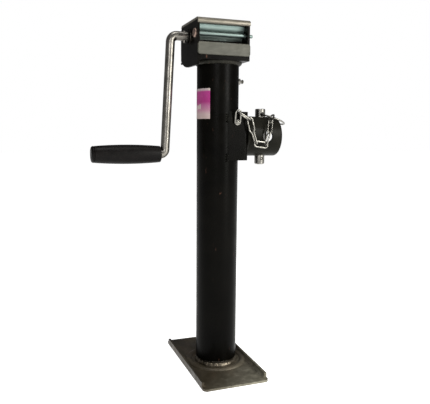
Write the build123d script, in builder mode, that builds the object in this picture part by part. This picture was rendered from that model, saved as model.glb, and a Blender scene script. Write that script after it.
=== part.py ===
from build123d import *
import os
from math import cos, hypot, radians, sin, sqrt

# Trailer tongue jack, side wind, round tube, with a pipe mount. Millimetres.
# Origin: underside of the foot plate, on the axis of the tubes. +Z runs up the tubes.
# +X points along the crank shaft, away from the crank and towards the mounting pipe.
# -Y is the side that carries the lock pin's chain. The leg is drawn fully retracted.

# ---------------------------------------------------------------- driving dimensions
tube_od = 57.15
tube_wall = 3.2
tube_bottom = 10.0
tube_top = 422.0

leg_od = 50.0
leg_wall = 3.0
leg_top = 390.0
travel = 254.0

foot_length = 178.0
foot_width = 92.0
foot_shift = -2.5
foot_sheet = 3.0
foot_lip = 9.0

shaft_z = 454.2
rod_d = 12.0
crank_reach = 154.9
grip_length = 91.0

head_left = -40.6
head_right = 31.8
head_front = -36.5
head_back = 39.5
head_top = 474.0
head_sheet = 3.0

screw_d = 19.05
gear_teeth = 20
pinion_teeth = 10
tooth_module = 2.2

pipe_axis_z = 323.8
pipe_od = 55.0
pipe_end = 86.5
bracket_height = 65.2
bracket_face = 34.5
bracket_sheet = 4.0

pin_d = 14.3
pin_x = 64.2
pin_low = 284.3
pin_high = 362.0

fit_gap = 0.05
slide_gap = 0.08

# ---------------------------------------------------------------- derived dimensions
tube_r = tube_od / 2
tube_bore = tube_r - tube_wall
leg_r = leg_od / 2
leg_bore = leg_r - leg_wall
rod_r = rod_d / 2
floor_top = tube_top + head_sheet
inner_left = head_left + head_sheet
inner_right = head_right - head_sheet
front_wall = head_front + 2.5
screw_r = screw_d / 2

os.makedirs("parts", exist_ok=True)


def ring(inner, outer, low, high):
    """A plain ring or sleeve about the tube axis."""
    with BuildPart() as made:
        with BuildSketch(Plane.XY.offset(low)):
            Circle(outer)
            Circle(inner, mode=Mode.SUBTRACT)
        extrude(amount=high - low)
    return made


def shaft_ring(inner, outer, start, end):
    """A plain ring or sleeve about the crank shaft."""
    with BuildPart() as made:
        with BuildSketch(Plane.YZ.offset(start)):
            with Locations((0, shaft_z)):
                Circle(outer)
                Circle(inner, mode=Mode.SUBTRACT)
        extrude(amount=end - start)
    return made


# ---------------------------------------------------------------- outer tube
grease_z = 398.3
grease_hole_r = 3.0

with BuildPart() as outer_tube:
    with BuildSketch(Plane.XY.offset(tube_bottom)):
        Circle(tube_r)
        Circle(tube_bore, mode=Mode.SUBTRACT)
    extrude(amount=tube_top - tube_bottom)
    with BuildSketch(Plane.YZ.offset(tube_bore - 2)):
        with Locations((0, grease_z)):
            Circle(grease_hole_r)
    extrude(amount=tube_wall + 4, mode=Mode.SUBTRACT)
outer_tube.part.label = "outer_tube"
export_step(outer_tube.part, "parts/outer_tube.step")

# ---------------------------------------------------------------- label on the outer tube
# A printed film, wrapped round the tube's crank side. Turns are counted from +X towards +Y.
label_low = 346.5
label_high = 386.5
label_start = 125.0
label_end = 229.0
label_film = 0.2
label_clear = 0.02
with BuildPart() as tube_label:
    with BuildSketch(Plane.XY.offset(label_low)):
        with BuildLine():
            inner_r = tube_r + label_clear
            outer_r = inner_r + label_film
            inner_arc = CenterArc((0, 0), inner_r, label_start, label_end - label_start)
            outer_arc = CenterArc((0, 0), outer_r, label_start, label_end - label_start)
            Line(inner_arc @ 0, outer_arc @ 0)
            Line(inner_arc @ 1, outer_arc @ 1)
        make_face()
    extrude(amount=label_high - label_low)
tube_label.part.label = "tube_label"
export_step(tube_label.part, "parts/tube_label.step")

# ---------------------------------------------------------------- grease fitting
grease_nose = 38.0
hex_across = 8.0
with BuildPart() as grease_fitting:
    with BuildSketch(Plane.XZ):
        with BuildLine():
            Polyline(
                (tube_bore + 0.4, grease_z),
                (tube_bore + 0.4, grease_z + grease_hole_r - fit_gap),
                (tube_r + 0.1, grease_z + grease_hole_r - fit_gap),
                (tube_r + 0.1, grease_z + 3.8),
                (tube_r + 3.6, grease_z + 3.8),
                (tube_r + 4.4, grease_z + 2.4),
                (grease_nose - 3.2, grease_z + 1.9),
                (grease_nose - 2.2, grease_z + 3.0),
                (grease_nose - 0.8, grease_z + 2.4),
                (grease_nose, grease_z + 1.0),
                (grease_nose, grease_z),
                close=True,
            )
        make_face()
    revolve(axis=Axis((0, 0, grease_z), (1, 0, 0)))
    with BuildSketch(Plane.YZ.offset(tube_r + 0.1)):
        with Locations((0, grease_z)):
            RegularPolygon(hex_across / 2, 6, major_radius=False)
    extrude(amount=3.5)
grease_fitting.part.label = "grease_fitting"
export_step(grease_fitting.part, "parts/grease_fitting.step")

# ---------------------------------------------------------------- leg: inner tube
nut_height = 30.0
nut_pin_z = leg_top - nut_height / 2
nut_pin_r = 3.0
nut_pin_depth = 3.0
with BuildPart() as inner_tube:
    with BuildSketch(Plane.XY.offset(foot_sheet)):
        Circle(leg_r)
        Circle(leg_bore, mode=Mode.SUBTRACT)
    extrude(amount=leg_top - foot_sheet)
    with BuildSketch(Plane.YZ.offset(-leg_r - 1)):
        with Locations((0, nut_pin_z)):
            Circle(nut_pin_r)
    extrude(amount=leg_od + 2, mode=Mode.SUBTRACT)
inner_tube.part.label = "inner_tube"
export_step(inner_tube.part, "parts/inner_tube.step")

# ---------------------------------------------------------------- leg: foot plate
bend_r = 3.0
lip_setback = 9.0
bead_mid = 39.0
bead_half = 4.6
bead_rise = 2.8
corner_r = 6.0

with BuildPart() as foot_plate:
    with BuildSketch(Plane.XY):
        with Locations((foot_shift, 0)):
            RectangleRounded(foot_width, foot_length, corner_r)
    extrude(amount=foot_sheet)
    # the two long edges are turned up, and stop short of the corners
    for side in (-1, 1):
        outer = foot_shift + side * foot_width / 2
        with BuildSketch(Plane.XZ.offset(-(foot_length / 2 - lip_setback))):
            with BuildLine():
                Polyline(
                    (outer, 0.4),
                    (outer, foot_lip),
                    (outer - side * foot_sheet, foot_lip),
                    (outer - side * foot_sheet, foot_sheet + bend_r),
                    (outer - side * (foot_sheet + 1.2), foot_sheet + 1.2),
                    (outer - side * (foot_sheet + bend_r), foot_sheet),
                    (outer - side * (foot_sheet + bend_r), 0.4),
                    close=True,
                )
            make_face()
        extrude(amount=foot_length - 2 * lip_setback)
    # pressed ring around the leg: a bead above and the matching groove below
    with BuildSketch(Plane.XZ):
        with BuildLine():
            ThreePointArc(
                (bead_mid - bead_half, foot_sheet),
                (bead_mid, foot_sheet + bead_rise),
                (bead_mid + bead_half, foot_sheet),
            )
            Polyline(
                (bead_mid + bead_half, foot_sheet),
                (bead_mid + bead_half, foot_sheet / 2),
                (bead_mid - bead_half, foot_sheet / 2),
                (bead_mid - bead_half, foot_sheet),
            )
        make_face()
    revolve(axis=Axis.Z)
    with BuildSketch(Plane.XZ):
        with BuildLine():
            groove_top = ThreePointArc(
                (bead_mid - bead_half, 0),
                (bead_mid, bead_rise),
                (bead_mid + bead_half, 0),
            )
            Line(groove_top @ 1, groove_top @ 0)
        make_face()
    revolve(axis=Axis.Z, mode=Mode.SUBTRACT)
foot_plate.part.label = "foot_plate"
export_step(foot_plate.part, "parts/foot_plate.step")

with BuildPart() as foot_weld:
    with BuildSketch(Plane.XZ):
        with BuildLine():
            ThreePointArc(
                (leg_r, foot_sheet + 4.6),
                (leg_r + 2.9, foot_sheet + 3.2),
                (leg_r + 4.2, foot_sheet),
            )
            Polyline((leg_r + 4.2, foot_sheet), (leg_r, foot_sheet), (leg_r, foot_sheet + 4.6))
        make_face()
    revolve(axis=Axis.Z)
foot_weld.part.label = "foot_weld"
export_step(foot_weld.part, "parts/foot_weld.step")

# ---------------------------------------------------------------- leg: drive nut and its pins
nut_low = leg_top - nut_height
with BuildPart() as drive_nut:
    with BuildSketch(Plane.XY.offset(nut_low)):
        Circle(leg_bore - fit_gap)
        Circle(screw_r + slide_gap, mode=Mode.SUBTRACT)
    extrude(amount=nut_height)
    with BuildSketch(Plane.YZ.offset(-leg_r)):
        with Locations((0, nut_pin_z)):
            Circle(nut_pin_r)
    extrude(amount=leg_r - screw_r - nut_pin_depth, mode=Mode.SUBTRACT)
    with BuildSketch(Plane.YZ.offset(screw_r + nut_pin_depth)):
        with Locations((0, nut_pin_z)):
            Circle(nut_pin_r)
    extrude(amount=leg_r - screw_r - nut_pin_depth, mode=Mode.SUBTRACT)
    chamfer(drive_nut.edges().group_by(Axis.Z)[-1], length=1.0)
drive_nut.part.label = "drive_nut"
export_step(drive_nut.part, "parts/drive_nut.step")

with BuildPart() as nut_pins:
    for side in (-1, 1):
        start = side * (screw_r + nut_pin_depth + 0.2)
        with BuildSketch(Plane.YZ.offset(start)):
            with Locations((0, nut_pin_z)):
                Circle(nut_pin_r - fit_gap)
        extrude(amount=side * (leg_r - screw_r - nut_pin_depth - 0.5))
nut_pins.part.label = "nut_pins"
export_step(nut_pins.part, "parts/nut_pins.step")

# ---------------------------------------------------------------- screw
end_gap = 0.5
stop_height = 4.0
stop_top = nut_low - travel - end_gap
stop_low = stop_top - stop_height
stop_pin_z = stop_low - 3.0
screw_low = stop_low - 8.0
stop_pin_r = 2.0
journal_r = 7.9
shoulder_z = 419.5
screw_top = 443.6
gear_pin_z = 438.2
with BuildPart() as lead_screw:
    with BuildSketch(Plane.XY.offset(screw_low)):
        Circle(screw_r)
    extrude(amount=shoulder_z - screw_low)
    chamfer(lead_screw.edges().group_by(Axis.Z)[0], length=1.5)
    with BuildSketch(Plane.XY.offset(shoulder_z)):
        Circle(journal_r)
    extrude(amount=screw_top - shoulder_z)
    with BuildSketch(Plane.XZ.offset(-screw_d)):
        with Locations((0, gear_pin_z), (0, stop_pin_z)):
            Circle(stop_pin_r)
    extrude(amount=2 * screw_d, mode=Mode.SUBTRACT)
lead_screw.part.label = "lead_screw"
export_step(lead_screw.part, "parts/lead_screw.step")

stop_r = leg_bore - 1.5
stop_washer = ring(screw_r + fit_gap, stop_r, stop_low, stop_top)
stop_washer.part.label = "stop_washer"
export_step(stop_washer.part, "parts/stop_washer.step")

with BuildPart() as stop_pin:
    with BuildSketch(Plane.XZ.offset(-(screw_r + 4))):
        with Locations((0, stop_pin_z)):
            Circle(stop_pin_r - fit_gap)
    extrude(amount=2 * (screw_r + 4))
stop_pin.part.label = "stop_pin"
export_step(stop_pin.part, "parts/stop_pin.step")

# ---------------------------------------------------------------- thrust bearing
race_r = 17.5
race_mid = 13.4
race_height = 3.2
ball_r = 2.4
ball_count = 14
lower_race_z = floor_top
ball_z = lower_race_z + race_height + 1.2
upper_race_z = ball_z + 1.2
groove_r = ball_r + fit_gap

with BuildPart() as lower_race:
    with BuildSketch(Plane.XY.offset(lower_race_z)):
        Circle(race_r)
        Circle(journal_r + 1, mode=Mode.SUBTRACT)
    extrude(amount=race_height)
    with BuildSketch(Plane.XZ):
        with Locations((race_mid, ball_z)):
            Circle(groove_r)
    revolve(axis=Axis.Z, mode=Mode.SUBTRACT)
lower_race.part.label = "lower_race"
export_step(lower_race.part, "parts/lower_race.step")

with BuildPart() as upper_race:
    with BuildSketch(Plane.XY.offset(upper_race_z)):
        Circle(race_r)
        Circle(journal_r + fit_gap, mode=Mode.SUBTRACT)
    extrude(amount=race_height)
    with BuildSketch(Plane.XZ):
        with Locations((race_mid, ball_z)):
            Circle(groove_r)
    revolve(axis=Axis.Z, mode=Mode.SUBTRACT)
upper_race.part.label = "upper_race"
export_step(upper_race.part, "parts/upper_race.step")

with BuildPart() as thrust_balls:
    with Locations((0, 0, ball_z)):
        with PolarLocations(race_mid, ball_count):
            Sphere(ball_r)
thrust_balls.part.label = "thrust_balls"
export_step(thrust_balls.part, "parts/thrust_balls.step")

# ---------------------------------------------------------------- bevel gears
# Both pitch cones meet at the apex, where the shaft axis crosses the screw axis.
# Plain trapezium teeth with wide backlash. Each tooth shrinks towards the apex.
gear_pitch_r = tooth_module * gear_teeth / 2
pinion_pitch_r = tooth_module * pinion_teeth / 2
cone_distance = hypot(gear_pitch_r, pinion_pitch_r)
face_width = 6.5
inner_scale = 1 - face_width / cone_distance
gear_sine = gear_pitch_r / cone_distance
addendum = 0.75 * tooth_module / gear_sine
dedendum = 1.0 * tooth_module / gear_sine
root_half = 0.8 * tooth_module
tip_half = 0.32 * tooth_module
root_sink = 0.5
rim = 0.6

gear_root_drop = pinion_pitch_r + dedendum
gear_tip_drop = pinion_pitch_r - addendum
gear_hub_low = upper_race_z + race_height
pinion_root_r = pinion_pitch_r - dedendum
pinion_tip_r = pinion_pitch_r + addendum

with BuildPart() as gear_tooth:
    for size in (1.0, inner_scale):
        foot = shaft_z - (gear_root_drop + root_sink) * size
        tip = shaft_z - gear_tip_drop * size
        with BuildSketch(Plane.YZ.offset(gear_pitch_r * size)):
            with BuildLine():
                Polyline(
                    (-root_half * size, foot),
                    (root_half * size, foot),
                    (tip_half * size, tip),
                    (-tip_half * size, tip),
                    close=True,
                )
            make_face()
    loft()

with BuildPart() as driven_gear:
    with BuildSketch(Plane.XZ):
        with BuildLine():
            Polyline(
                (journal_r + fit_gap, gear_hub_low),
                (gear_pitch_r - 3, gear_hub_low),
                (gear_pitch_r + rim, gear_hub_low + 3),
                (gear_pitch_r + rim, shaft_z - gear_root_drop),
                (gear_pitch_r, shaft_z - gear_root_drop),
                (gear_pitch_r * inner_scale, shaft_z - gear_root_drop * inner_scale),
                (journal_r + fit_gap, shaft_z - gear_root_drop * inner_scale),
                close=True,
            )
        make_face()
    revolve(axis=Axis.Z)
    with PolarLocations(0, gear_teeth):
        add(gear_tooth.part)
    with BuildSketch(Plane.XZ.offset(-gear_pitch_r - 2)):
        with Locations((0, gear_pin_z)):
            Circle(2.0)
    extrude(amount=2 * gear_pitch_r + 4, mode=Mode.SUBTRACT)
driven_gear.part.label = "driven_gear"
export_step(driven_gear.part, "parts/driven_gear.step")

with BuildPart() as gear_pin:
    with BuildSketch(Plane.XZ.offset(-gear_pitch_r)):
        with Locations((0, gear_pin_z)):
            Circle(2.0 - fit_gap)
    extrude(amount=2 * gear_pitch_r)
gear_pin.part.label = "gear_pin"
export_step(gear_pin.part, "parts/gear_pin.step")

with BuildPart() as pinion_tooth:
    for size in (1.0, inner_scale):
        foot = shaft_z + (pinion_root_r - root_sink) * size
        tip = shaft_z + pinion_tip_r * size
        with BuildSketch(Plane.YZ.offset(-gear_pitch_r * size)):
            with BuildLine():
                Polyline(
                    (-root_half * size, foot),
                    (root_half * size, foot),
                    (tip_half * size, tip),
                    (-tip_half * size, tip),
                    close=True,
                )
            make_face()
    loft()

# The pinion shows a gap to the driven gear's tooth at rest.
hub_r = 9.5
hub_start = -35.0
hub_end = -gear_pitch_r - 1.6
shaft_axis = Axis((0, 0, shaft_z), (1, 0, 0))
pinion_pin_x = -29.0
with BuildPart() as pinion_gear:
    with BuildSketch(Plane.XZ):
        with BuildLine():
            Polyline(
                (hub_start, shaft_z + rod_r + fit_gap),
                (hub_start, shaft_z + hub_r),
                (hub_end, shaft_z + hub_r),
                (hub_end, shaft_z + pinion_root_r),
                (-gear_pitch_r, shaft_z + pinion_root_r),
                (-gear_pitch_r * inner_scale, shaft_z + pinion_root_r * inner_scale),
                (-gear_pitch_r * inner_scale, shaft_z + rod_r + fit_gap),
                close=True,
            )
        make_face()
    revolve(axis=shaft_axis)
    for step in range(pinion_teeth):
        turn = 360 / pinion_teeth * (step + 0.5)
        add(pinion_tooth.part.rotate(shaft_axis, turn))
    with BuildSketch(Plane.YZ.offset(hub_start)):
        with Locations((0, shaft_z)):
            Circle(rod_r + fit_gap)
    extrude(amount=gear_pitch_r, mode=Mode.SUBTRACT)
    with BuildSketch(Plane.XY.offset(shaft_z - hub_r - 1)):
        with Locations((pinion_pin_x, 0)):
            Circle(2.0)
    extrude(amount=2 * hub_r + 2, mode=Mode.SUBTRACT)
pinion_gear.part.label = "pinion_gear"
export_step(pinion_gear.part, "parts/pinion_gear.step")

with BuildPart() as pinion_pin:
    with BuildSketch(Plane.XY.offset(shaft_z - hub_r + 0.2)):
        with Locations((pinion_pin_x, 0)):
            Circle(2.0 - fit_gap)
    extrude(amount=2 * hub_r - 0.4)
pinion_pin.part.label = "pinion_pin"
export_step(pinion_pin.part, "parts/pinion_pin.step")

# ---------------------------------------------------------------- crank
crank_bend_r = 8.5
hand_bend_r = 6.4
arm_x = -66.4
hand_x = -75.0
hand_z = shaft_z - crank_reach
grip_start = -81.4
grip_end = grip_start - grip_length
rod_tip = grip_end + 6
shaft_tip = 33.4
clip_x = 24.4
stop_pin_x = -48.0

with BuildPart() as crank_rod:
    with BuildLine() as crank_path:
        FilletPolyline(
            (shaft_tip, 0, shaft_z),
            (arm_x, 0, shaft_z),
            (hand_x, 0, hand_z),
            (rod_tip, 0, hand_z),
            radius=[crank_bend_r, hand_bend_r],
        )
    with BuildSketch(Plane(origin=(shaft_tip, 0, shaft_z), z_dir=(-1, 0, 0))):
        Circle(rod_r)
    sweep(path=crank_path.wires()[0])
    with BuildSketch(Plane.XY.offset(shaft_z - rod_r - 1)):
        with Locations((pinion_pin_x, 0), (stop_pin_x, 0)):
            Circle(2.0)
    extrude(amount=rod_d + 2, mode=Mode.SUBTRACT)
    with BuildSketch(Plane.YZ.offset(clip_x)):
        with Locations((0, shaft_z)):
            Circle(rod_r + 1)
            Circle(rod_r - 0.8, mode=Mode.SUBTRACT)
    extrude(amount=1.4, mode=Mode.SUBTRACT)
    chamfer(crank_rod.edges().group_by(Axis.X)[-1], length=1.0)
    chamfer(crank_rod.edges().group_by(Axis.X)[0], length=1.0)
crank_rod.part.label = "crank_rod"
export_step(crank_rod.part, "parts/crank_rod.step")

with BuildPart() as crank_stop_pin:
    with BuildSketch(Plane.XY.offset(shaft_z - rod_r - 2.6)):
        with Locations((stop_pin_x, 0)):
            Circle(2.0 - fit_gap)
    extrude(amount=rod_d + 3.4)
crank_stop_pin.part.label = "crank_stop_pin"
export_step(crank_stop_pin.part, "parts/crank_stop_pin.step")

crank_washer = shaft_ring(rod_r + fit_gap, 10.0, -44.6, -42.8)
crank_washer.part.label = "crank_washer"
export_step(crank_washer.part, "parts/crank_washer.step")

shaft_clip = shaft_ring(rod_r - 0.8 + fit_gap, 9.5, clip_x + 0.1, clip_x + 1.3)
shaft_clip.part.label = "shaft_clip"
export_step(shaft_clip.part, "parts/shaft_clip.step")

# ---------------------------------------------------------------- hand grip
grip_plane = Plane(origin=(0, 0, hand_z), x_dir=(1, 0, 0), z_dir=(0, -1, 0))
grip_axis = Axis((0, 0, hand_z), (1, 0, 0))
grip_end_r = 10.9
grip_mid_r = 12.6
grip_mid_x = -127.0
cap_depth = 9.0
cap_r = 8.6
with BuildPart() as hand_grip:
    with BuildSketch(grip_plane):
        with BuildLine():
            Line((grip_start, rod_r + 0.09), (grip_start, grip_end_r - 1.4))
            ThreePointArc(
                (grip_start, grip_end_r - 1.4),
                (grip_start - 0.45, grip_end_r - 0.4),
                (grip_start - 1.6, grip_end_r),
            )
            ThreePointArc(
                (grip_start - 1.6, grip_end_r),
                (grip_mid_x, grip_mid_r),
                (grip_end + 4.4, grip_end_r),
            )
            Polyline(
                (grip_end + 4.4, grip_end_r),
                (grip_end + 3.8, grip_end_r - 0.6),
                (grip_end + 3.2, grip_end_r),
            )
            ThreePointArc(
                (grip_end + 3.2, grip_end_r),
                (grip_end + 0.8, grip_end_r - 1.0),
                (grip_end, grip_end_r - 3.0),
            )
            Polyline(
                (grip_end, grip_end_r - 3.0),
                (grip_end, 0),
                (grip_end + 2.4, 0),
                (grip_end + 2.4, cap_r - 1.4),
                (grip_end + cap_depth, cap_r - 1.4),
                (grip_end + cap_depth, rod_r + 0.09),
                (grip_start, rod_r + 0.09),
            )
        make_face()
    revolve(axis=grip_axis)
hand_grip.part.label = "hand_grip"
export_step(hand_grip.part, "parts/hand_grip.step")

with BuildPart() as grip_nut:
    with BuildSketch(Plane.YZ.offset(rod_tip + 0.2)):
        with Locations((0, hand_z)):
            Circle(cap_r - 1.8)
            Circle(rod_r + 0.02, mode=Mode.SUBTRACT)
    extrude(amount=1.4)
grip_nut.part.label = "grip_nut"
export_step(grip_nut.part, "parts/grip_nut.step")

# ---------------------------------------------------------------- gear housing
cheek_low_left = 415.5
cheek_corner = 14.0
pin_y = -25.0
pin_z = 455.3
cover_pin_r = 3.1
lid_sheet = 3.0
lid_z = head_top - lid_sheet
window_low = 443.5
bush_r = 9.0

with BuildPart() as gear_housing:
    # crank-side cheek, which hangs lower than the rest and is rounded at the back
    with BuildSketch(Plane.YZ.offset(head_left)):
        with BuildLine():
            Polyline(
                (front_wall, lid_z),
                (head_back - 4, lid_z),
                (head_back, lid_z - 4),
                (head_back, cheek_low_left + 1.6 * cheek_corner),
            )
            Spline(
                (head_back, cheek_low_left + 1.6 * cheek_corner),
                (head_back - 5, cheek_low_left + 9),
                (head_back - 2 * cheek_corner, cheek_low_left),
                tangents=[(0, -1), (-1, -0.12)],
            )
            Polyline(
                (head_back - 2 * cheek_corner, cheek_low_left),
                (front_wall + 4, cheek_low_left - 1),
                (front_wall, cheek_low_left + 3),
                (front_wall, lid_z),
            )
        make_face()
    extrude(amount=head_sheet)
    # far cheek
    with BuildSketch(Plane.YZ.offset(inner_right)):
        with BuildLine():
            Polyline(
                (front_wall, tube_top),
                (head_back, tube_top),
                (head_back, lid_z - 4),
                (head_back - 4, lid_z),
                (front_wall, lid_z),
                close=True,
            )
        make_face()
    extrude(amount=head_sheet)
    # floor
    with BuildSketch(Plane.XY.offset(tube_top)):
        with Locations(((head_left + head_right) / 2, (front_wall + head_back) / 2)):
            Rectangle(head_right - head_left, head_back - front_wall)
    extrude(amount=head_sheet)
    # back wall
    with BuildSketch(Plane.XZ.offset(-head_back)):
        with Locations(((head_left + head_right) / 2, (tube_top + lid_z) / 2)):
            Rectangle(head_right - head_left - 0.2, lid_z - tube_top - 8)
    extrude(amount=head_sheet)
    # low front wall behind the face plate
    with BuildSketch(Plane.XZ.offset(-front_wall - head_sheet)):
        with Locations(((head_left + head_right) / 2, (tube_top + window_low) / 2)):
            Rectangle(head_right - head_left, window_low - tube_top)
    extrude(amount=head_sheet)
    # holes for the screw, the shaft bushes and the cover pin
    with BuildSketch(Plane.XY.offset(tube_top - 1)):
        Circle(journal_r + 1)
    extrude(amount=head_sheet + 2, mode=Mode.SUBTRACT)
    with BuildSketch(Plane.YZ.offset(head_left - 1)):
        with Locations((0, shaft_z)):
            Circle(bush_r)
        with Locations((pin_y, pin_z)):
            Circle(cover_pin_r + fit_gap)
    extrude(amount=head_right - head_left + 2, mode=Mode.SUBTRACT)
gear_housing.part.label = "gear_housing"
export_step(gear_housing.part, "parts/gear_housing.step")

# ---------------------------------------------------------------- lid of the gear housing
lip_low = 466.8
lip_r = 5.0
with BuildPart() as housing_lid:
    with BuildSketch(Plane.YZ.offset(head_left)):
        with BuildLine():
            Polyline(
                (head_front + 1.2, lip_low),
                (head_front, lip_low + 1.2),
                (head_front, head_top - lip_r),
            )
            ThreePointArc(
                (head_front, head_top - lip_r),
                (head_front + lip_r * (1 - sqrt(0.5)), head_top - lip_r * (1 - sqrt(0.5))),
                (head_front + lip_r, head_top),
            )
            Polyline(
                (head_front + lip_r, head_top),
                (head_back - 5, head_top),
                (head_back - 0.5, lid_z + 0.4),
                (head_back - 0.5, lid_z),
                (front_wall, lid_z),
                (front_wall, lip_low),
                (head_front + 1.2, lip_low),
            )
        make_face()
    extrude(amount=head_right - head_left)
housing_lid.part.label = "housing_lid"
export_step(housing_lid.part, "parts/housing_lid.step")

# ---------------------------------------------------------------- face plate under the window
plate_low = 427.6
plate_corner = 3.6
with BuildPart() as face_plate:
    with BuildSketch(Plane.XZ.offset(-front_wall)):
        with Locations(((head_left + head_right) / 2, (plate_low + window_low) / 2)):
            RectangleRounded(head_right - head_left, window_low - plate_low, plate_corner)
    extrude(amount=front_wall - head_front)
    chamfer(face_plate.faces().sort_by(Axis.Y)[0].edges(), length=0.6)
face_plate.part.label = "face_plate"
export_step(face_plate.part, "parts/face_plate.step")

# ---------------------------------------------------------------- gear cover behind the window
cover_sheet = 1.5
cover_top = lid_z - 0.6
cover_left = inner_left + 0.4
cover_right = inner_right - 0.4
cover_low_y = -14.8
cover_low_z = 448.8
cover_high_y = -26.0
with BuildPart() as gear_cover:
    with BuildSketch(Plane.YZ.offset(cover_left)):
        with BuildLine() as cover_line:
            FilletPolyline(
                (head_back - head_sheet - 1.2, 452.0),
                (head_back - head_sheet - 1.2, cover_top),
                (cover_high_y, cover_top),
                (cover_low_y, cover_low_z),
                radius=3.0,
            )
            offset(cover_line.line, amount=cover_sheet, side=Side.LEFT)
        make_face()
    extrude(amount=cover_right - cover_left)
gear_cover.part.label = "gear_cover"
export_step(gear_cover.part, "parts/gear_cover.step")

# ---------------------------------------------------------------- cover pin across the window
pin_head_r = 5.8
pin_head = 2.4
pin_tail = 39.0
with BuildPart() as cover_pin:
    with BuildSketch(Plane.YZ.offset(head_left - 0.1)):
        with Locations((pin_y, pin_z)):
            Circle(cover_pin_r)
    extrude(amount=head_right + 1.6 - head_left + 0.1)
    with BuildSketch(Plane.YZ.offset(head_right + 1.6)):
        with Locations((pin_y, pin_z)):
            Circle(2.2)
    extrude(amount=pin_tail - head_right - 1.6)
    with BuildSketch(Plane.YZ.offset(head_left - 0.1)):
        with Locations((pin_y, pin_z)):
            Circle(pin_head_r)
    extrude(amount=-pin_head)
    fillet(cover_pin.edges().group_by(Axis.X)[0], radius=1.6)
    chamfer(cover_pin.edges().group_by(Axis.X)[-1], length=0.6)
cover_pin.part.label = "cover_pin"
export_step(cover_pin.part, "parts/cover_pin.step")

# ---------------------------------------------------------------- shaft bushes
flange_r = 11.5
flange = 2.0
for side_name, wall_start, inner_dir in (("left", head_left, 1), ("right", inner_right, -1)):
    wall_end = wall_start + head_sheet
    inner_face = wall_end if inner_dir == 1 else wall_start
    with BuildPart() as shaft_bush:
        with BuildSketch(Plane.YZ.offset(wall_start)):
            with Locations((0, shaft_z)):
                Circle(bush_r - fit_gap)
                Circle(rod_r + fit_gap, mode=Mode.SUBTRACT)
        extrude(amount=head_sheet)
        with BuildSketch(Plane.YZ.offset(inner_face)):
            with Locations((0, shaft_z)):
                Circle(flange_r)
                Circle(rod_r + fit_gap, mode=Mode.SUBTRACT)
        extrude(amount=inner_dir * flange)
    shaft_bush.part.label = f"shaft_bush_{side_name}"
    export_step(shaft_bush.part, f"parts/shaft_bush_{side_name}.step")

# ---------------------------------------------------------------- weld under the head
with BuildPart() as head_weld:
    with BuildSketch(Plane.XZ):
        with BuildLine():
            ThreePointArc((tube_r, tube_top - 3.4), (tube_r + 1.9, tube_top - 2.4), (tube_r + 3.1, tube_top))
            Polyline((tube_r + 3.1, tube_top), (tube_r, tube_top), (tube_r, tube_top - 3.4))
        make_face()
    revolve(axis=Axis.Z)
head_weld.part.label = "head_weld"
export_step(head_weld.part, "parts/head_weld.step")

# ---------------------------------------------------------------- mount bracket and socket pipe
bracket_low = pipe_axis_z - bracket_height / 2
flange_start = 4.6
bracket_bend = 5.0
with BuildPart() as mount_bracket:
    with BuildSketch(Plane.XY.offset(bracket_low)):
        with Locations(((flange_start + bracket_face) / 2, 0)):
            Rectangle(bracket_face - flange_start, tube_od)
        with Locations(((flange_start + bracket_face) / 2 - bracket_sheet, 0)):
            Rectangle(bracket_face - flange_start, tube_od - 2 * bracket_sheet, mode=Mode.SUBTRACT)
        Circle(tube_r, mode=Mode.SUBTRACT)
    extrude(amount=bracket_height)
    fillet(mount_bracket.edges().filter_by(Axis.Z).group_by(Axis.X)[-1], radius=bracket_bend)
mount_bracket.part.label = "mount_bracket"
export_step(mount_bracket.part, "parts/mount_bracket.step")

socket_r = 24.45
socket_deep_r = 24.15
mouth_start = 73.4
index_r = pin_d / 2 + 0.35
edge_round = 2.2
pipe_top = pipe_axis_z + pipe_od / 2
pipe_axis = Axis((0, 0, pipe_axis_z), (1, 0, 0))
with BuildPart() as mount_pipe:
    with BuildSketch(Plane.XZ):
        with BuildLine():
            Line((bracket_face, pipe_top), (pipe_end - edge_round, pipe_top))
            ThreePointArc(
                (pipe_end - edge_round, pipe_top),
                (pipe_end - edge_round * (1 - sqrt(0.5)), pipe_top - edge_round * (1 - sqrt(0.5))),
                (pipe_end, pipe_top - edge_round),
            )
            Polyline(
                (pipe_end, pipe_top - edge_round),
                (pipe_end, pipe_axis_z + socket_r),
                (mouth_start, pipe_axis_z + socket_r),
                (mouth_start, pipe_axis_z + socket_deep_r),
                (bracket_face, pipe_axis_z + socket_deep_r),
                (bracket_face, pipe_top),
            )
        make_face()
    revolve(axis=pipe_axis)
    with BuildSketch(Plane.XY.offset(pipe_axis_z - pipe_od)):
        with Locations((pin_x, 0)):
            Circle(index_r)
    extrude(amount=2 * pipe_od, mode=Mode.SUBTRACT)
    with BuildSketch(Plane.XZ.offset(-pipe_od)):
        with Locations((pin_x, pipe_axis_z)):
            Circle(index_r)
    extrude(amount=2 * pipe_od, mode=Mode.SUBTRACT)
mount_pipe.part.label = "mount_pipe"
export_step(mount_pipe.part, "parts/mount_pipe.step")

with BuildPart() as pipe_weld:
    with BuildSketch(Plane.XZ):
        with BuildLine():
            ThreePointArc(
                (bracket_face, pipe_top + 1.1),
                (bracket_face + 1.0, pipe_top + 0.8),
                (bracket_face + 2.6, pipe_top),
            )
            Polyline(
                (bracket_face + 2.6, pipe_top),
                (bracket_face, pipe_top),
                (bracket_face, pipe_top + 1.1),
            )
        make_face()
    revolve(axis=pipe_axis)
pipe_weld.part.label = "pipe_weld"
export_step(pipe_weld.part, "parts/pipe_weld.step")

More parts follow.
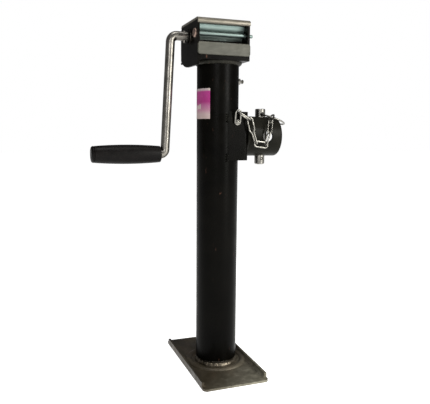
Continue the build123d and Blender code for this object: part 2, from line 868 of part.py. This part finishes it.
# ---------------------------------------------------------------- lock pin
eye_z = 354.0
eye_r = 3.2
detent_z = 292.5
with BuildPart() as lock_pin:
    with BuildSketch(Plane.XY.offset(pin_low)):
        with Locations((pin_x, 0)):
            Circle(pin_d / 2)
    extrude(amount=pin_high - pin_low)
    chamfer(lock_pin.edges().group_by(Axis.Z)[0], length=1.4)
    chamfer(lock_pin.edges().group_by(Axis.Z)[-1], length=0.8)
    with BuildSketch(Plane.XZ.offset(-pin_d)):
        with Locations((pin_x, eye_z)):
            Circle(eye_r)
    extrude(amount=2 * pin_d, mode=Mode.SUBTRACT)
    with BuildSketch(Plane.XZ.offset(0)):
        with Locations((pin_x, detent_z)):
            Circle(2.3)
    extrude(amount=pin_d, mode=Mode.SUBTRACT)
lock_pin.part.label = "lock_pin"
export_step(lock_pin.part, "parts/lock_pin.step")

with BuildPart() as detent_ball:
    with Locations((pin_x, -(pin_d / 2 - 2.0), detent_z)):
        Sphere(2.2)
detent_ball.part.label = "detent_ball"
export_step(detent_ball.part, "parts/detent_ball.step")

# ---------------------------------------------------------------- pull ring
# The ring goes through the lock pin's eye and droops on to the pipe.
pull_ring_r = 19.0
pull_wire_r = 1.15
pull_droop = 20.0
pull_ring_x = 82.05
pull_ring_z = 347.5
pull_plane = Plane(
    origin=(pull_ring_x, 0, pull_ring_z),
    x_dir=(cos(radians(pull_droop)), 0, -sin(radians(pull_droop))),
    z_dir=(sin(radians(pull_droop)), 0, cos(radians(pull_droop))),
)
with BuildPart() as pull_ring:
    with Locations(pull_plane):
        Torus(pull_ring_r, pull_wire_r)
pull_ring.part.label = "pull_ring"
export_step(pull_ring.part, "parts/pull_ring.step")

# ---------------------------------------------------------------- chain
# Link 1 is welded to the bracket. Links 2 to 8 hang from it to the pull ring, every other
# link turned by a quarter. A link's lean is the angle of its length above level.
link_wire = 2.2
link_reach = 19.4
link_bend_r = 3.7
link_seat = 2.8
chain_y = -33.6
chain_start = (17.4, chain_y, 355.4)
link_leans = (-31, -76, -70, -8, 72, 73, 50)
link_side_steps = (0, 0, 0, 0, 1.0, 5.0, 14.0)
link_twists = (0, 0, 0, 0, 0, 15, 10)


def chain_link(low, high, side):
    """An oval of round wire between the middles of its two end bars."""
    along = (high - low).normalized()
    half_run = (high - low).length / 2 - link_bend_r
    across = along.cross(side).cross(along).normalized()
    face = Plane(origin=(low + high) / 2, x_dir=along, z_dir=along.cross(across))
    with BuildPart() as made:
        with BuildLine(face) as wire_line:
            Line((-half_run, link_bend_r), (half_run, link_bend_r))
            ThreePointArc((half_run, link_bend_r), (half_run + link_bend_r, 0), (half_run, -link_bend_r))
            Line((half_run, -link_bend_r), (-half_run, -link_bend_r))
            ThreePointArc((-half_run, -link_bend_r), (-half_run - link_bend_r, 0), (-half_run, link_bend_r))
        with BuildSketch(Plane(origin=wire_line.line @ 0, z_dir=wire_line.line % 0)):
            Circle(link_wire / 2)
        sweep()
    return made


anchor_top = Vector(*chain_start) + Vector(0, 0, link_seat)
anchor_low = anchor_top - Vector(0, -3.7, sqrt(link_reach**2 - 3.7**2))
anchor_link = chain_link(anchor_low, anchor_top, Vector(1, 0, 0))
anchor_link.part.label = "chain_link_1"
export_step(anchor_link.part, "parts/chain_link_1.step")

joint = Vector(*chain_start)
for number, (lean, side_step, twist) in enumerate(zip(link_leans, link_side_steps, link_twists), start=2):
    edge_on = number % 2 == 0
    pitch = link_reach if edge_on else link_reach - 2 * link_seat
    flat_run = sqrt(pitch**2 - side_step**2)
    step = Vector(flat_run * cos(radians(lean)), side_step, flat_run * sin(radians(lean)))
    next_joint = joint + step
    unit = step.normalized()
    if edge_on:
        side = Vector(0, 1, 0)
        ends = (joint, next_joint)
    else:
        side = Vector(0, 1, 0).cross(unit)
        ends = (joint - unit * link_seat, next_joint + unit * link_seat)
    side = side.rotate(Axis((0, 0, 0), tuple(unit)), twist)
    moving_link = chain_link(ends[0], ends[1], side)
    moving_link.part.label = f"chain_link_{number}"
    export_step(moving_link.part, f"parts/chain_link_{number}.step")
    joint = next_joint

# ---------------------------------------------------------------- weld of the chain's first link
# The bead fills the lower end of the upright link and ties it to the bracket's side.
weld_rise = 4.0
weld_r = link_bend_r - link_wire / 2 - 0.2
weld_z = anchor_low.Z + link_bend_r
with BuildPart() as anchor_weld:
    with BuildSketch(Plane.XZ.offset(tube_r)):
        with Locations((anchor_low.X, weld_z)):
            Circle(weld_r)
    extrude(amount=weld_rise)
    fillet(anchor_weld.edges().group_by(Axis.Y)[0], radius=weld_r - 0.3)
anchor_weld.part.label = "anchor_weld"
export_step(anchor_weld.part, "parts/anchor_weld.step")

# ---------------------------------------------------------------- welds of the bracket to the tube
bead_r = 2.0
bead_length = 11.0
bead_x = flange_start - 1.2
with BuildPart() as bracket_welds:
    for side_y in (-tube_r, tube_r):
        for bead_z in (bracket_low + 4.0, bracket_low + bracket_height - 9.0):
            with Locations((bead_x, side_y, bead_z)):
                Cylinder(bead_r, bead_length, align=(Align.CENTER, Align.CENTER, Align.CENTER))
    with Locations((0, 0, bracket_low)):
        Cylinder(tube_r, 2 * bracket_height, mode=Mode.SUBTRACT)
    with Locations(((flange_start + bracket_face) / 2, 0, bracket_low)):
        Box(bracket_face - flange_start, tube_od, 2 * bracket_height, mode=Mode.SUBTRACT)
bracket_welds.part.label = "bracket_welds"
export_step(bracket_welds.part, "parts/bracket_welds.step")
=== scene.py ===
"""Looks of the trailer tongue jack: materials, welds, camera, floor and light."""

import math

import bmesh
import bpy
from mathutils import Matrix, Vector, noise


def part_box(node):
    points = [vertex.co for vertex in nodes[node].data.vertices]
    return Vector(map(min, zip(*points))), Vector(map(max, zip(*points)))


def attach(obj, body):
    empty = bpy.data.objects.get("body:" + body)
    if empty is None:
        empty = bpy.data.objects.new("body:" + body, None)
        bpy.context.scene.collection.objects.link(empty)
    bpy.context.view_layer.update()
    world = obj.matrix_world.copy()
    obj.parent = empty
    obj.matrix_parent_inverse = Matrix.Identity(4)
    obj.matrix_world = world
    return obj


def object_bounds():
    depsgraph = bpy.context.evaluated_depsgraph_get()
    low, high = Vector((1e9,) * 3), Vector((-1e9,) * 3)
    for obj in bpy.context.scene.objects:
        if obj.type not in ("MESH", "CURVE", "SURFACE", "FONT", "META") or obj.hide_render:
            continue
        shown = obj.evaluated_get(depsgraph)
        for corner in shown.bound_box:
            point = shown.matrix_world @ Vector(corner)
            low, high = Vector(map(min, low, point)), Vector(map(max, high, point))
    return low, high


# floor and surroundings
FLOOR_HALF_WIDTH = 8.0
FLOOR_GAP = 0.0002
FLOOR_GLOW = 0.88
WORLD_LIGHT = 0.16
WORLD_SEEN = 1.0

# camera, in metres and unit directions; the lens and sensor are in millimetres
CAMERA_PLACE = (-0.2641, -0.7076, 0.3275)
CAMERA_FORWARD = (0.3437, 0.9306, -0.1256)
CAMERA_RIGHT = (0.9384, -0.3455, 0.0078)
CAMERA_LENS = 45.46
SENSOR_WIDTH = 36.0

# weld beads
ANCHOR_BLOB_SIZE = (0.0040, 0.0027, 0.0036)
BEAD_SIZE = (0.0024, 0.0020, 0.0025)
BEAD_INSET_Y = 0.0022
BEAD_INSET_Z = 0.0050
BEAD_PITCH = 0.0032
BEADS_PER_WELD = 3
RIPPLE_START = 0.0001
FOOT_RIPPLES = 24
HEAD_RIPPLES = 30
STEPS_PER_RIPPLE = 10
STEPS_ACROSS = 10

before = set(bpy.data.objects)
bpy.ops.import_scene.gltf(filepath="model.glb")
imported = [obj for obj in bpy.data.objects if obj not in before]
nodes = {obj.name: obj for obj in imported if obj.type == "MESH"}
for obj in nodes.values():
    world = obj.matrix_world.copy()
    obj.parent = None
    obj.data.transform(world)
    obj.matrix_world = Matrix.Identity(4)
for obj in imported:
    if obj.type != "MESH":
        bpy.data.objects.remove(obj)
cad_low, cad_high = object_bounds()


# ---------------------------------------------------------------- node helpers
def new_material(name):
    """A material with one Principled shader, and the object's own metres as coordinates."""
    material = bpy.data.materials.new(name)
    material.use_nodes = True
    tree = material.node_tree
    tree.nodes.clear()
    output = tree.nodes.new("ShaderNodeOutputMaterial")
    shader = tree.nodes.new("ShaderNodeBsdfPrincipled")
    place = tree.nodes.new("ShaderNodeTexCoord")
    tree.links.new(shader.outputs["BSDF"], output.inputs["Surface"])
    return material, tree, shader, place.outputs["Object"]


def stretched(tree, place, scale):
    """The coordinates, scaled by a different amount along each axis."""
    mapping = tree.nodes.new("ShaderNodeMapping")
    mapping.inputs["Scale"].default_value = scale
    tree.links.new(place, mapping.inputs["Vector"])
    return mapping.outputs["Vector"]


def cloud(tree, place, scale, detail=4.0, roughness=0.55):
    """A noise value from 0 to 1."""
    texture = tree.nodes.new("ShaderNodeTexNoise")
    texture.inputs["Scale"].default_value = scale
    texture.inputs["Detail"].default_value = detail
    texture.inputs["Roughness"].default_value = roughness
    tree.links.new(place, texture.inputs["Vector"])
    return texture.outputs["Fac"]


def ramp(tree, value, stops):
    """Colours along a value."""
    node = tree.nodes.new("ShaderNodeValToRGB")
    elements = node.color_ramp.elements
    while len(elements) < len(stops):
        elements.new(0.5)
    for element, (position, colour) in zip(elements, stops):
        element.position = position
        element.color = (*colour, 1.0)
    tree.links.new(value, node.inputs["Fac"])
    return node.outputs["Color"]


def grey_ramp(tree, value, low, high, start=0.3, end=0.7):
    """A value remapped through two greys."""
    return ramp(tree, value, [(start, (low,) * 3), (end, (high,) * 3)])


def blended(tree, factor, first, second):
    """Two colours mixed by a factor."""
    node = tree.nodes.new("ShaderNodeMix")
    node.data_type = "RGBA"
    tree.links.new(factor, node.inputs["Factor"])
    tree.links.new(first, node.inputs["A"])
    tree.links.new(second, node.inputs["B"])
    return node.outputs["Result"]


def bumped(tree, shader, height, distance, strength=1.0):
    """Gives the shader a bump of the given height in metres."""
    node = tree.nodes.new("ShaderNodeBump")
    node.inputs["Distance"].default_value = distance
    node.inputs["Strength"].default_value = strength
    tree.links.new(height, node.inputs["Height"])
    tree.links.new(node.outputs["Normal"], shader.inputs["Normal"])


def axis_value(tree, place, axis, low, high):
    """0 to 1 as the place moves along one axis from low to high."""
    split = tree.nodes.new("ShaderNodeSeparateXYZ")
    tree.links.new(place, split.inputs["Vector"])
    span = tree.nodes.new("ShaderNodeMapRange")
    span.inputs["From Min"].default_value = low
    span.inputs["From Max"].default_value = high
    tree.links.new(split.outputs[axis], span.inputs["Value"])
    return span.outputs["Result"]


# ---------------------------------------------------------------- materials
def enamel(
    name, dark, light, low_rough, high_rough, scuff=(0.055, 0.026, 0.018), scuff_start=0.63,
):
    """Black enamel with slight orange peel, cloudy gloss and a few rusty scuffs."""
    material, tree, shader, place = new_material(name)
    base = ramp(tree, cloud(tree, place, 28.0), [(0.3, dark), (0.72, light)])
    specks = cloud(tree, stretched(tree, place, (150, 150, 60)), 1.0, 6.0, 0.7)
    scuffs = grey_ramp(tree, specks, 0, 1, scuff_start, scuff_start + 0.07)
    area = grey_ramp(tree, cloud(tree, place, 14.0, 2.0), 0, 1, 0.52, 0.62)
    spread = tree.nodes.new("ShaderNodeMath")
    spread.operation = "MULTIPLY"
    tree.links.new(scuffs, spread.inputs[0])
    tree.links.new(area, spread.inputs[1])
    rust = ramp(tree, cloud(tree, place, 90.0), [(0.3, scuff), (0.7, tuple(c * 2.2 for c in scuff))])
    tree.links.new(blended(tree, spread.outputs["Value"], base, rust), shader.inputs["Base Color"])
    gloss = grey_ramp(tree, cloud(tree, place, 60.0, 5.0), low_rough, high_rough)
    tree.links.new(gloss, shader.inputs["Roughness"])
    shader.inputs["Specular IOR Level"].default_value = 0.04
    bumped(tree, shader, cloud(tree, place, 420.0, 3.0), 0.00012, 0.35)
    return material


def plated(name, dark, light, rough, drawn_along="Z", tint_scale=70.0):
    """Bright zinc plate over drawn steel: fine lines along the wire and soft cloudy tint."""
    material, tree, shader, place = new_material(name)
    stretch = {"X": (25, 900, 900), "Y": (900, 25, 900), "Z": (900, 900, 25)}[drawn_along]
    lines = cloud(tree, stretched(tree, place, stretch), 1.0, 3.0)
    tint = ramp(tree, cloud(tree, place, tint_scale, 4.0), [(0.32, dark), (0.7, light)])
    tree.links.new(tint, shader.inputs["Base Color"])
    shader.inputs["Metallic"].default_value = 1.0
    tree.links.new(grey_ramp(tree, lines, rough, rough + 0.14), shader.inputs["Roughness"])
    bumped(tree, shader, lines, 0.00005, 0.3)
    return material


def banded_zinc():
    """Bluish zinc of the gear cover. Bands by height stand in for its reflections and the lip's shade."""
    material, tree, shader, place = new_material("zinc_cover")
    low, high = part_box("gear_cover")
    lines = cloud(tree, stretched(tree, place, (25, 900, 900)), 1.0, 3.0)
    bands = ramp(tree, axis_value(tree, place, "Z", low[2], high[2]), [
        (0.00, (0.30, 0.36, 0.33)), (0.30, (0.34, 0.42, 0.39)), (0.52, (0.14, 0.19, 0.18)),
        (0.70, (0.24, 0.31, 0.29)), (0.84, (0.12, 0.17, 0.16)), (0.94, (0.40, 0.45, 0.41)),
    ])
    stain = grey_ramp(tree, cloud(tree, place, 70.0), 0.0, 0.35)
    pale = ramp(tree, lines, [(0.3, (0.26, 0.33, 0.31)), (0.7, (0.42, 0.50, 0.47))])
    tree.links.new(blended(tree, stain, bands, pale), shader.inputs["Base Color"])
    shader.inputs["Metallic"].default_value = 1.0
    tree.links.new(grey_ramp(tree, lines, 0.34, 0.48), shader.inputs["Roughness"])
    bumped(tree, shader, lines, 0.00005, 0.3)
    return material


def cross_pin_zinc():
    """Darker zinc of the cross pin, with a warm painted highlight on its head at the crank's side."""
    material, tree, shader, place = new_material("zinc_cross")
    low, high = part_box("cover_pin")
    lines = cloud(tree, stretched(tree, place, (25, 900, 900)), 1.0, 3.0)
    shank = ramp(tree, lines, [(0.3, (0.09, 0.12, 0.115)), (0.7, (0.19, 0.24, 0.225))])
    # painted highlight: a warm pale tint on the pin's head stands in for its specular glint
    painted_head_highlight = ramp(tree, cloud(tree, place, 160.0), [(0.3, (0.20, 0.13, 0.10)), (0.7, (0.44, 0.33, 0.28))])
    head_end = low[0] + (high[0] - low[0]) * 0.10
    along = axis_value(tree, place, "X", low[0], head_end)
    on_head = grey_ramp(tree, along, 0.0, 1.0, 0.45, 0.75)
    tree.links.new(blended(tree, on_head, painted_head_highlight, shank), shader.inputs["Base Color"])
    shader.inputs["Metallic"].default_value = 0.9
    tree.links.new(grey_ramp(tree, lines, 0.32, 0.46), shader.inputs["Roughness"])
    bumped(tree, shader, lines, 0.00005, 0.3)
    return material


def plain_steel(name, dark, light, rough, scale=45.0):
    """Oiled or greased steel of the pieces inside."""
    material, tree, shader, place = new_material(name)
    tint = ramp(tree, cloud(tree, place, scale, 6.0, 0.6), [(0.3, dark), (0.72, light)])
    tree.links.new(tint, shader.inputs["Base Color"])
    shader.inputs["Metallic"].default_value = 0.9
    gloss = grey_ramp(tree, cloud(tree, place, 160.0), rough, rough + 0.2)
    tree.links.new(gloss, shader.inputs["Roughness"])
    bumped(tree, shader, cloud(tree, place, 700.0, 2.0), 0.00006, 0.4)
    return material


def foot_metal():
    """Dull olive-brown plate, with a painted sheen brightening its front right, with rolling marks and
    stains.
    """
    material, tree, shader, place = new_material("foot_metal")
    patches = cloud(tree, stretched(tree, place, (30, 16, 30)), 1.0, 6.0, 0.62)
    base = ramp(tree, patches, [
        (0.28, (0.026, 0.020, 0.011)), (0.50, (0.052, 0.041, 0.025)),
        (0.66, (0.084, 0.062, 0.040)), (0.82, (0.105, 0.092, 0.066)),
    ])
    # painted sheen: a diagonal mask brightens the plate towards its front right, standing in for
    # reflected light
    painted_sheen = ramp(tree, cloud(tree, place, 120.0, 5.0), [
        (0.30, (0.120, 0.112, 0.080)), (0.55, (0.200, 0.186, 0.140)), (0.75, (0.330, 0.312, 0.245)),
    ])
    slant = tree.nodes.new("ShaderNodeVectorMath")
    slant.operation = "DOT_PRODUCT"
    slant.inputs[1].default_value = (0.75, -0.66, 0.0)
    tree.links.new(place, slant.inputs[0])
    band = tree.nodes.new("ShaderNodeMapRange")
    band.inputs["From Min"].default_value = 0.018
    band.inputs["From Max"].default_value = 0.072
    tree.links.new(slant.outputs["Value"], band.inputs["Value"])
    tree.links.new(blended(tree, band.outputs["Result"], base, painted_sheen), shader.inputs["Base Color"])
    shader.inputs["Metallic"].default_value = 0.35
    tree.links.new(grey_ramp(tree, cloud(tree, place, 75.0, 5.0), 0.38, 0.62), shader.inputs["Roughness"])
    bumped(tree, shader, cloud(tree, stretched(tree, place, (500, 140, 500)), 1.0, 4.0), 0.00015, 0.5)
    return material


def reflection_tinted_metal(name, dark, light, rough, metallic):
    """Black-painted metal coloured olive-grey as a painted reflection of the pale surroundings, with
    rubbing marks along the head's width.
    """
    material, tree, shader, place = new_material(name)
    rub = cloud(tree, stretched(tree, place, (90, 400, 400)), 1.0, 5.0)
    tree.links.new(ramp(tree, rub, [(0.3, dark), (0.7, light)]), shader.inputs["Base Color"])
    shader.inputs["Metallic"].default_value = metallic
    gloss = grey_ramp(tree, cloud(tree, place, 110.0), rough, rough + 0.16)
    tree.links.new(gloss, shader.inputs["Roughness"])
    bumped(tree, shader, rub, 0.00008, 0.4)
    return material


def grip_plastic():
    """Black moulded plastic with a fine pebble and a little dust in it."""
    material, tree, shader, place = new_material("grip_plastic")
    base = ramp(tree, cloud(tree, place, 160.0, 4.0), [
        (0.35, (0.0015, 0.0011, 0.0010)), (0.75, (0.0045, 0.0035, 0.0031)),
    ])
    tree.links.new(base, shader.inputs["Base Color"])
    tree.links.new(grey_ramp(tree, cloud(tree, place, 80.0), 0.40, 0.52), shader.inputs["Roughness"])
    shader.inputs["Specular IOR Level"].default_value = 0.10
    cells = tree.nodes.new("ShaderNodeTexVoronoi")
    cells.inputs["Scale"].default_value = 1100.0
    tree.links.new(place, cells.inputs["Vector"])
    bumped(tree, shader, cells.outputs["Distance"], 0.00012, 0.35)
    return material


def label_film():
    """A printed sticker with a magenta field above a pale one, in plain blocks without lettering."""
    material, tree, shader, place = new_material("label_film")
    low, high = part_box("tube_label")
    height = axis_value(tree, place, "Z", low[2], high[2])
    bands = ramp(tree, height, [
        (0.00, (0.40, 0.31, 0.29)), (0.16, (0.42, 0.31, 0.31)), (0.30, (0.38, 0.17, 0.25)),
        (0.44, (0.34, 0.10, 0.22)), (0.56, (0.30, 0.02, 0.15)),
        (0.90, (0.33, 0.03, 0.18)), (0.95, (0.40, 0.32, 0.33)),
    ])
    blocks = tree.nodes.new("ShaderNodeTexVoronoi")
    blocks.distance = "CHEBYCHEV"
    blocks.inputs["Scale"].default_value = 95.0
    tree.links.new(place, blocks.inputs["Vector"])
    pale = ramp(tree, cloud(tree, place, 60.0), [(0.3, (0.40, 0.30, 0.29)), (0.7, (0.52, 0.44, 0.41))])
    chosen = grey_ramp(tree, blocks.outputs["Color"], 0, 1, 0.66, 0.72)
    tree.links.new(blended(tree, chosen, bands, pale), shader.inputs["Base Color"])
    tree.links.new(grey_ramp(tree, cloud(tree, place, 140.0), 0.28, 0.44), shader.inputs["Roughness"])
    bumped(tree, shader, cloud(tree, place, 240.0, 2.0), 0.00006, 0.4)
    return material


black_paint = enamel("black_paint", (0.0008, 0.0007, 0.0005), (0.0024, 0.0021, 0.0014), 0.26, 0.40)
pipe_paint = enamel(
    "pipe_paint", (0.006, 0.006, 0.0045), (0.015, 0.014, 0.011), 0.28, 0.42, (0.03, 0.024, 0.018), 0.74,
)
# painted reflection: the lid's lip is black paint, coloured olive-beige to stand in for the light it
# reflects
lid_painted_reflection = reflection_tinted_metal("lid_painted_reflection", (0.115, 0.105, 0.082), (0.21, 0.19, 0.155), 0.30, 0.6)
zinc_crank = plated("zinc_crank", (0.15, 0.142, 0.126), (0.29, 0.272, 0.246), 0.25)
zinc_cover = banded_zinc()
zinc_cross = cross_pin_zinc()
zinc_wire = plated("zinc_wire", (0.15, 0.145, 0.130), (0.33, 0.32, 0.290), 0.24, "X", 200.0)
zinc_pin = plated("zinc_pin", (0.17, 0.163, 0.148), (0.34, 0.33, 0.305), 0.26, "Z", 120.0)
# painted highlight: black enamel made lighter than black_paint so the weld beads show their grey glint
weld_highlight_paint = enamel("weld_highlight_paint", (0.010, 0.010, 0.008), (0.034, 0.032, 0.026), 0.30, 0.42)
weld_steel = plain_steel("weld_steel", (0.045, 0.035, 0.023), (0.26, 0.225, 0.175), 0.34, 110.0)
bare_steel = plain_steel("bare_steel", (0.20, 0.19, 0.17), (0.38, 0.37, 0.35), 0.3)
race_steel = plain_steel("race_steel", (0.24, 0.24, 0.25), (0.42, 0.42, 0.44), 0.2)
bush_oiled = plain_steel("bush_oiled", (0.030, 0.022, 0.014), (0.070, 0.052, 0.034), 0.45, 90.0)
bronze = plain_steel("bronze", (0.26, 0.15, 0.06), (0.48, 0.31, 0.14), 0.35, 90.0)
foot_steel = foot_metal()
# painted reflection: the face plate is black paint, coloured olive-grey to stand in for the light it
# reflects
face_painted_reflection = reflection_tinted_metal("face_painted_reflection", (0.036, 0.036, 0.026), (0.056, 0.055, 0.041), 0.42, 0.25)
grip_black = grip_plastic()
label_print = label_film()

CHAIN = [f"chain_link_{number}" for number in range(1, 9)]
DRESS = {
    black_paint: [
        "outer_tube", "gear_housing", "head_weld", "mount_bracket", "bracket_welds", "crank_washer",
    ],
    lid_painted_reflection: ["housing_lid"],
    pipe_paint: ["mount_pipe", "pipe_weld"],
    face_painted_reflection: ["face_plate"],
    zinc_cover: ["gear_cover"],
    zinc_cross: ["cover_pin"],
    zinc_crank: ["crank_rod", "crank_stop_pin", "grip_nut"],
    zinc_wire: CHAIN + ["pull_ring", "anchor_weld"],
    zinc_pin: ["lock_pin", "detent_ball", "grease_fitting"],
    bare_steel: [
        "inner_tube", "nut_pins", "lead_screw", "stop_washer", "stop_pin", "gear_pin", "pinion_pin",
        "shaft_clip",
    ],
    race_steel: ["lower_race", "upper_race", "thrust_balls", "driven_gear", "pinion_gear"],
    bush_oiled: ["shaft_bush_left", "shaft_bush_right"],
    bronze: ["drive_nut"],
    foot_steel: ["foot_plate", "foot_weld"],
    grip_black: ["hand_grip"],
    label_print: ["tube_label"],
}
for material, names in DRESS.items():
    for name in names:
        for surface in nodes[name].material_slots:
            surface.material = material


# ---------------------------------------------------------------- welds
def finish_piece(mesh_data, name, material, body):
    """Puts a bmesh into the scene as a smooth piece that rides on a body."""
    mesh = bpy.data.meshes.new(name)
    mesh_data.to_mesh(mesh)
    mesh_data.free()
    for polygon in mesh.polygons:
        polygon.use_smooth = True
    mesh.materials.append(material)
    piece = bpy.data.objects.new(name, mesh)
    bpy.context.scene.collection.objects.link(piece)
    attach(piece, body)
    return piece


def weld_blob(name, centre, size, material, body, lumps=0.14):
    """A lumpy drop of weld metal."""
    drop = bmesh.new()
    bmesh.ops.create_icosphere(drop, subdivisions=4, radius=1.0)
    for vertex in drop.verts:
        offset = vertex.co * 1.7 + Vector(centre) * 200
        swell = 1.0 + lumps * (noise.noise(offset) - 0.2)
        vertex.co = Vector(vertex.co[axis] * size[axis] * swell for axis in range(3)) + Vector(centre)
    return finish_piece(drop, name, material, body)


def ripple_ring(name, centre_z, radius, width, height, count, material, body):
    """A fillet weld round the tube: overlapping scales of weld metal."""
    bead = bmesh.new()
    around = count * STEPS_PER_RIPPLE
    rows = []
    for step in range(around):
        turn = 2 * math.pi * step / around
        scale_phase = (turn * count / (2 * math.pi)) % 1.0
        direction = Vector((math.cos(turn), math.sin(turn), centre_z))
        swell = 0.86 + 0.14 * scale_phase + 0.05 * noise.noise(direction * 3)
        row = []
        for part in range(STEPS_ACROSS + 1):
            lift = math.pi / 2 * part / STEPS_ACROSS
            out = radius + width * math.cos(lift) * swell
            up = centre_z + height * math.sin(lift) * swell
            row.append(bead.verts.new((out * math.cos(turn), out * math.sin(turn), up)))
        rows.append(row)
    for step in range(around):
        this = rows[step]
        following = rows[(step + 1) % around]
        for part in range(STEPS_ACROSS):
            bead.faces.new((this[part], following[part], following[part + 1], this[part + 1]))
    return finish_piece(bead, name, material, body)


anchor_low, anchor_high = (Vector(corner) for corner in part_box("anchor_weld"))
anchor_middle = (anchor_low + anchor_high) / 2
weld_blob(
    "anchor_blob", anchor_middle, ANCHOR_BLOB_SIZE, zinc_wire, "jack_body", 0.22,
)

bead_low, bead_high = (Vector(corner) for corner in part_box("bracket_welds"))
bead_x = (bead_low.x + bead_high.x) / 2
bead_sides = (("near", bead_low.y + BEAD_INSET_Y), ("far", bead_high.y - BEAD_INSET_Y))
bead_heights = (("low", bead_low.z + BEAD_INSET_Z), ("high", bead_high.z - BEAD_INSET_Z))
for side_name, side_y in bead_sides:
    for place_name, bead_z in bead_heights:
        for number in range(BEADS_PER_WELD):
            weld_blob(
                f"bracket_bead_{side_name}_{place_name}_{number}",
                (bead_x, side_y, bead_z + (number - 1) * BEAD_PITCH),
                BEAD_SIZE, weld_highlight_paint, "jack_body",
            )

foot_weld_low, foot_weld_high = (Vector(corner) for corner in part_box("foot_weld"))
foot_weld_out = (foot_weld_high.x - foot_weld_low.x) / 2
leg_radius = (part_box("inner_tube")[1][0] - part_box("inner_tube")[0][0]) / 2
ripple_ring(
    "foot_ripples", foot_weld_low.z + RIPPLE_START, leg_radius, foot_weld_out - leg_radius + 0.0014,
    foot_weld_high.z - foot_weld_low.z + 0.0008, FOOT_RIPPLES, weld_steel, "leg",
)
head_weld_low, head_weld_high = (Vector(corner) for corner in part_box("head_weld"))
head_weld_out = (head_weld_high.x - head_weld_low.x) / 2
tube_radius = (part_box("outer_tube")[1][0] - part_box("outer_tube")[0][0]) / 2
ripple_ring(
    "head_ripples", head_weld_high.z - RIPPLE_START, tube_radius, head_weld_out - tube_radius + 0.0008,
    head_weld_low.z - head_weld_high.z - 0.0006, HEAD_RIPPLES, weld_highlight_paint, "jack_body",
)


# ---------------------------------------------------------------- floor, world, light and camera
def build_floor():
    """A plain pale floor that goes past every view."""
    plane = bmesh.new()
    bmesh.ops.create_grid(plane, x_segments=2, y_segments=2, size=FLOOR_HALF_WIDTH)
    mesh = bpy.data.meshes.new("floor")
    plane.to_mesh(mesh)
    plane.free()
    floor = bpy.data.objects.new("floor", mesh)
    floor.location.z = cad_low[2] - FLOOR_GAP
    bpy.context.scene.collection.objects.link(floor)
    material, tree, shader, place = new_material("floor_white")
    tint = ramp(tree, cloud(tree, place, 3.0), [(0.3, (0.93, 0.93, 0.92)), (0.7, (0.96, 0.96, 0.95))])
    tree.links.new(tint, shader.inputs["Base Color"])
    shader.inputs["Roughness"].default_value = 0.9
    shader.inputs["Specular IOR Level"].default_value = 0.05
    shader.inputs["Emission Color"].default_value = (1.0, 1.0, 1.0, 1.0)
    shader.inputs["Emission Strength"].default_value = FLOOR_GLOW
    mesh.materials.append(material)


def build_world():
    """Soft white surroundings."""
    world = bpy.data.worlds.new("studio")
    bpy.context.scene.world = world
    world.use_nodes = True
    tree = world.node_tree
    backdrop = tree.nodes["Background"]
    backdrop.inputs["Color"].default_value = (1.0, 1.0, 1.0, 1.0)
    path = tree.nodes.new("ShaderNodeLightPath")
    strength = tree.nodes.new("ShaderNodeMapRange")
    strength.inputs["To Min"].default_value = WORLD_LIGHT
    strength.inputs["To Max"].default_value = WORLD_SEEN
    tree.links.new(path.outputs["Is Camera Ray"], strength.inputs["Value"])
    tree.links.new(strength.outputs["Result"], backdrop.inputs["Strength"])


def soft_light(name, location, target, size, watts, colour=(1.0, 1.0, 1.0)):
    """A rectangular softbox that faces its target."""
    data = bpy.data.lights.new(name, "AREA")
    data.shape = "RECTANGLE"
    data.size, data.size_y = size
    data.energy = watts
    data.color = colour
    lamp = bpy.data.objects.new(name, data)
    lamp.location = location
    lamp.rotation_euler = (Vector(target) - Vector(location)).to_track_quat("-Z", "Y").to_euler()
    bpy.context.scene.collection.objects.link(lamp)


def build_camera():
    """The camera stands to the left of the front, a little above the middle of the jack."""
    data = bpy.data.cameras.new("camera")
    data.lens = CAMERA_LENS
    data.sensor_width = SENSOR_WIDTH
    camera = bpy.data.objects.new("camera", data)
    forward = Vector(CAMERA_FORWARD).normalized()
    right = Vector(CAMERA_RIGHT).normalized()
    up = right.cross(forward).normalized()
    right = forward.cross(up)
    turn = Matrix((right, up, -forward)).transposed()
    camera.matrix_world = Matrix.Translation(CAMERA_PLACE) @ turn.to_4x4()
    bpy.context.scene.collection.objects.link(camera)
    bpy.context.scene.camera = camera


build_floor()
build_world()
middle = (0.0, 0.0, 0.25)
soft_light("key", (1.15, -1.75, 1.0), middle, (0.45, 1.5), 46.0, (1.0, 0.99, 0.94))
soft_light("front", (-0.75, -1.6, 0.75), (0.0, 0.0, 0.4), (0.5, 0.5), 7.0)
soft_light("top", (-0.1, -0.3, 1.8), (0.0, 0.0, 0.45), (0.6, 0.6), 9.0)
build_camera()
bpy.context.scene.view_settings.view_transform = "Standard"
